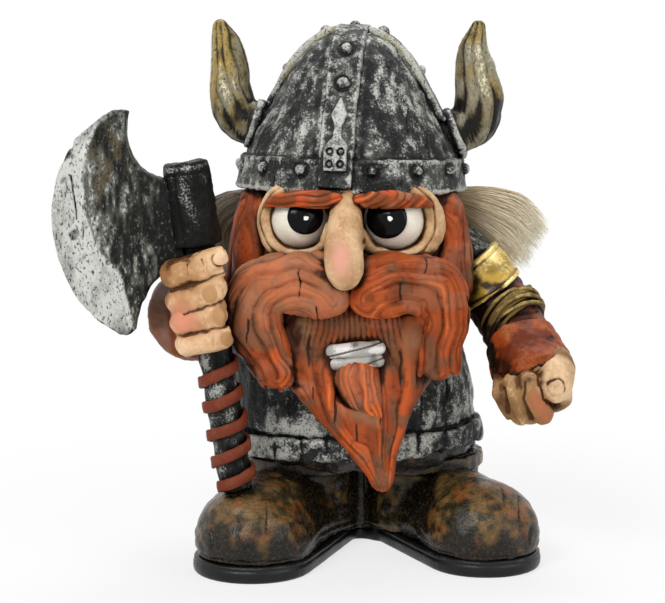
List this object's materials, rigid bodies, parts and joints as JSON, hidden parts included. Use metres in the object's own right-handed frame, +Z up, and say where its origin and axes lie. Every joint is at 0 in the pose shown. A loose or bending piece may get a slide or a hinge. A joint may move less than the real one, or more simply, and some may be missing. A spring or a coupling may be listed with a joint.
{
  "type": "souvenir figurine",
  "caption": "Cast and painted standing viking with horned helmet, beard, real-fur hair and a two-handed stance, one hand on a wrapped battle axe.",
  "frame": {"origin": "underside of the sole plate, on the web between the two heels, at floor level", "axes": "+Z up through the helmet, +X to the viewer's right (the figure's left), -Y the side that the figure faces"},
  "size_m": [0.1388, 0.0835, 0.1497],
  "materials": {
    "sole": "black gloss paint on cast resin",
    "leather": "red-brown painted strip",
    "iron": "silver dry-brush over black, cracked",
    "haft": "black paint with a grey dry-brush",
    "cord": "yellow-olive paint",
    "gold": "bright gold paint with a dark patch",
    "sleeve": "red-brown paint, dark in the grooves",
    "skin": "beige paint with a brown wash in the hollows",
    "armour": "silver dry-brush over black, speckled",
    "pupil": "black high-gloss dot with a small white highlight",
    "hair": "orange-red dry-brush over dark brown grooves",
    "eye": "off-white gloss paint with a brown rim",
    "teeth": "silvery white paint",
    "horn": "gold and ivory dry-brush over brown-black ridges",
    "boot": "mottled bronze and olive antique wash over black, glossy",
    "trousers": "dark grey paint, folds left black",
    "fur": "real fur, beige-grey, long fine strands"
  },
  "bodies": {
    "root": {"sole_plate": "sole", "axe_grip_wrap": "leather", "axe_blade": "iron", "axe_socket": "haft", "axe_haft": "haft", "cord_wrap_left": "cord", "armband_left": "gold", "cuff_left": "sleeve", "hand_left": "skin", "forearm_left": "sleeve", "upper_sleeve_left": "armour", "hand_right": "skin", "sleeve_right": "sleeve", "pupil_right": "pupil", "pupil_left": "pupil", "eyebrow_right": "hair", "eyebrow_left": "hair", "nose": "skin", "eyeball_right": "eye", "eyeball_left": "eye", "moustache_right": "hair", "moustache_left": "hair", "upper_teeth": "teeth", "lower_teeth": "teeth", "lip_tuft": "hair", "eyelid_right": "skin", "eyelid_left": "skin", "strap_ornament": "armour", "helmet_crest_strap": "armour", "horn_right": "horn", "horn_left": "horn", "horn_collar_right": "armour", "horn_collar_left": "armour", "helmet_strap_right": "armour", "helmet_strap_left": "armour", "helmet_band": "armour", "head": "skin", "helmet_dome": "armour", "beard": "hair", "belt": "armour", "boot_cuff_right": "boot", "boot_cuff_left": "boot", "boot_right": "boot", "boot_left": "boot", "tunic": "armour", "trousers": "trousers", "hair_left": "fur", "hair_right": "fur", "hair_back": "fur"}
  },
  "joints": []
}
